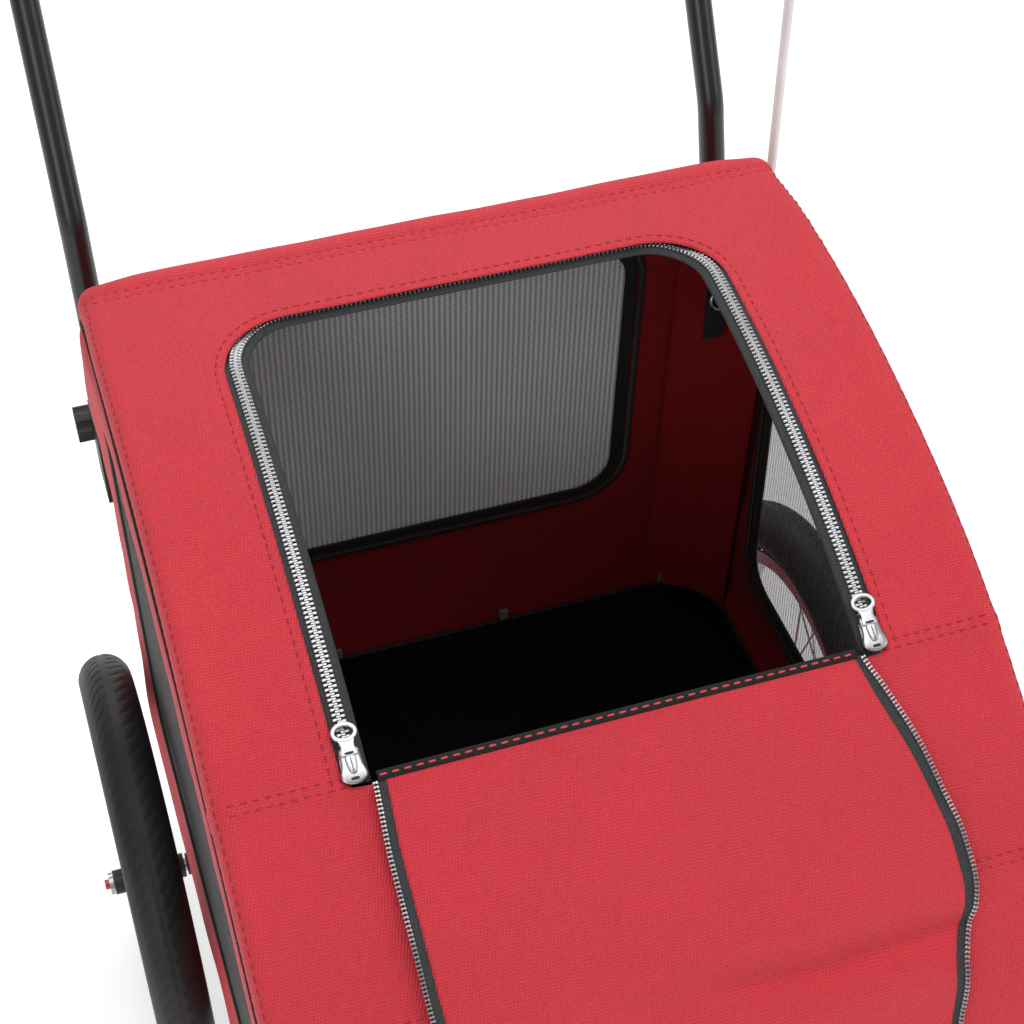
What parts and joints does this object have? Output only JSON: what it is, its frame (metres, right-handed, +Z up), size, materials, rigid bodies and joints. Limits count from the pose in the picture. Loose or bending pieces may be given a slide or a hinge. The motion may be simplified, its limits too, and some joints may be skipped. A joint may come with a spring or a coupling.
{
  "type": "pet bicycle trailer",
  "caption": "Pet bicycle trailer with a zipped cloth cabin on a tube frame, spoked rear wheels, a front swivel wheel, a folding push handle and a tow arm.",
  "frame": {"origin": "on the ground under the middle of the whole object's box", "axes": "+Z up, -Y the way the trailer is pulled, +X to the trailer's left, where the tow arm is"},
  "size_m": [0.718, 1.752, 1.4],
  "materials": {
    "frame_tube": "black powder coat",
    "bracket": "black paint",
    "board": "black stained board",
    "mat": "black padded cloth",
    "red_cloth": "coated coarse weave",
    "window_mesh": "grey woven mesh with black binding",
    "tape": "woven tape",
    "zip_metal": "cast and tumbled",
    "webbing": "woven strap",
    "red_plastic": "gloss",
    "tyre": "moulded rubber",
    "rim": "satin",
    "spoke": "bright wire",
    "hub": "satin",
    "axle_steel": "zinc plated",
    "black_plastic": "fine moulded texture",
    "foam": "closed-cell foam",
    "pole": "white glass-fibre rod",
    "flag_cloth": "bright woven nylon"
  },
  "bodies": {
    "frame": {"left_floor_rail": "frame_tube", "right_floor_rail": "frame_tube", "front_cross_tube": "frame_tube", "rear_cross_tube": "frame_tube", "axle_tube": "frame_tube", "axle_saddles": "bracket", "left_rear_upright": "frame_tube", "right_rear_upright": "frame_tube", "left_side_hoop": "frame_tube", "right_side_hoop": "frame_tube", "rear_top_tube": "frame_tube", "middle_top_tube": "frame_tube", "floor_board": "board", "floor_mat": "mat", "roof_cover": "red_cloth", "left_side_panel": "red_cloth", "right_side_panel": "red_cloth", "rear_panel": "red_cloth", "rear_window": "window_mesh", "left_window": "window_mesh", "right_window": "window_mesh", "zip_tape": "tape", "zip_teeth": "zip_metal", "leash_tether": "webbing", "rear_reflectors": "red_plastic", "left_axle": "axle_steel", "right_axle": "axle_steel", "fork_bracket": "bracket", "handle_clamps": "black_plastic", "tow_bracket": "bracket", "flag_holder": "black_plastic"},
    "caster": {"front_fork": "black_plastic", "front_axle": "axle_steel"},
    "front_roller": {"front_tyre": "tyre", "front_wheel": "black_plastic"},
    "handle": {"handlebar": "frame_tube", "handle_grip": "foam"},
    "left_knob": {"left_clamp_knob": "black_plastic"},
    "right_knob": {"right_clamp_knob": "black_plastic"},
    "tow_bar": {"tow_arm": "frame_tube"},
    "swivel": {"coupler": "bracket"},
    "hitch": {"hitch_plate": "axle_steel"},
    "pin": {"hitch_pin": "axle_steel"},
    "door_flap": {"flap": "red_cloth"},
    "flag": {"flag_pole": "pole", "pennant": "flag_cloth"},
    "left_wheel": {"left_tyre": "tyre", "left_rim": "rim", "left_spokes": "spoke", "left_hub": "hub"},
    "left_button": {"left_release_button": "red_plastic"},
    "left_slide": {"left_zip_slider": "zip_metal"},
    "left_tab": {"left_pull_tab": "zip_metal"},
    "right_wheel": {"right_tyre": "tyre", "right_rim": "rim", "right_spokes": "spoke", "right_hub": "hub"},
    "right_button": {"right_release_button": "red_plastic"},
    "right_slide": {"right_zip_slider": "zip_metal"},
    "right_tab": {"right_pull_tab": "zip_metal"}
  },
  "joints": [
    {"name": "left_wheel_spin", "type": "hinge", "parent": "frame", "child": "left_wheel", "pos_m": [0.319, 0.50686, 0.203], "axis": [1, 0, 0], "continuous": true},
    {"name": "left_button_press", "type": "slide", "parent": "frame", "child": "left_button", "axis": [-1, 0, 0], "range_m": [0, 0.003], "stiffness_N_per_m": 400},
    {"name": "right_wheel_spin", "type": "hinge", "parent": "frame", "child": "right_wheel", "pos_m": [-0.319, 0.50686, 0.203], "axis": [1, 0, 0], "continuous": true},
    {"name": "right_button_press", "type": "slide", "parent": "frame", "child": "right_button", "axis": [1, 0, 0], "range_m": [0, 0.003], "stiffness_N_per_m": 400},
    {"name": "caster_swivel", "type": "hinge", "parent": "frame", "child": "caster", "pos_m": [0, -0.24403, 0.22], "axis": [0, 0, 1], "continuous": true},
    {"name": "front_wheel_spin", "type": "hinge", "parent": "caster", "child": "front_roller", "pos_m": [0, -0.19903, 0.1], "axis": [1, 0, 0], "continuous": true},
    {"name": "handle_fold", "type": "hinge", "parent": "frame", "child": "handle", "pos_m": [0, 0.67448, 0.6], "axis": [-1, 0, 0], "range_deg": [0, 120]},
    {"name": "left_knob_turn", "type": "hinge", "parent": "frame", "child": "left_knob", "pos_m": [0.2682, 0.67448, 0.6], "axis": [1, 0, 0], "continuous": true},
    {"name": "right_knob_turn", "type": "hinge", "parent": "frame", "child": "right_knob", "pos_m": [-0.2682, 0.67448, 0.6], "axis": [1, 0, 0], "continuous": true},
    {"name": "tow_arm_fold", "type": "hinge", "parent": "frame", "child": "tow_bar", "pos_m": [0.235, -0.21803, 0.222], "axis": [-1, 0, 0], "range_deg": [0, 95]},
    {"name": "coupler_twist", "type": "hinge", "parent": "tow_bar", "child": "swivel", "pos_m": [0.12, -0.78303, 0.3], "axis": [0, 1, 0], "range_deg": [-45, 45]},
    {"name": "hitch_turn", "type": "hinge", "parent": "swivel", "child": "hitch", "pos_m": [0.12, -0.80903, 0.3], "axis": [0, 0, 1], "range_deg": [-80, 80]},
    {"name": "hitch_pin_lift", "type": "slide", "parent": "swivel", "child": "pin", "axis": [0, 0, 1], "range_m": [0, 0.045]},
    {"name": "flap_fold", "type": "hinge", "parent": "frame", "child": "door_flap", "pos_m": [0, -0.03455, 0.49715], "axis": [1, 0, 0], "range_deg": [0, 170]},
    {"name": "left_zip_slide", "type": "hinge", "parent": "frame", "child": "left_slide", "pos_m": [0.185, 0.56086, 0.015], "axis": [-1, 0, 0], "range_deg": [0, 22.5]},
    {"name": "left_tab_flip", "type": "hinge", "parent": "left_slide", "child": "left_tab", "pos_m": [0.185, 0.19406, 0.68775], "axis": [1, 0, 0], "range_deg": [0, 150]},
    {"name": "right_zip_slide", "type": "hinge", "parent": "frame", "child": "right_slide", "pos_m": [-0.185, 0.56086, 0.015], "axis": [-1, 0, 0], "range_deg": [0, 22.5]},
    {"name": "right_tab_flip", "type": "hinge", "parent": "right_slide", "child": "right_tab", "pos_m": [-0.185, 0.19406, 0.68775], "axis": [1, 0, 0], "range_deg": [0, 150]},
    {"name": "flag_lift", "type": "slide", "parent": "frame", "child": "flag", "axis": [0, 0, 1], "range_m": [0, 0.05]}
  ]
}
